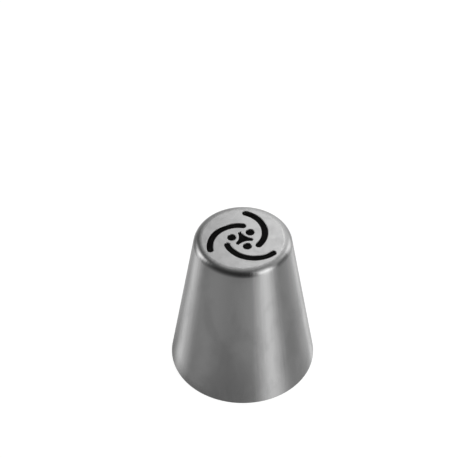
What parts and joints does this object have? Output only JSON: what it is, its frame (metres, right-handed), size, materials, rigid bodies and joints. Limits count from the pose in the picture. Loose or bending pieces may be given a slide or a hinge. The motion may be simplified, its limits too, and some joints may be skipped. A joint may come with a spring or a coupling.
{
  "type": "piping nozzle",
  "caption": "Tapered steel piping nozzle, open at its wide base, with a rounded shoulder and a flat face cut by a pinwheel of curved slots, round holes and a small star.",
  "frame": {"origin": "centre of the wide open base, in the plane that the rim stands on", "axes": "+Z along the nozzle's axis, from the base to the cut face; +X to the right and +Y away from the picture's camera"},
  "size_m": [0.034, 0.034, 0.0378],
  "materials": {
    "cone_steel": "satin, brushed round the cone",
    "cap_steel": "satin face, smoother on the bend and the cut edges",
    "weld_steel": "dull, as welded"
  },
  "bodies": {
    "root": {"nozzle_cone": "cone_steel", "pattern_cap": "cap_steel", "weld_ring": "weld_steel"}
  },
  "joints": []
}
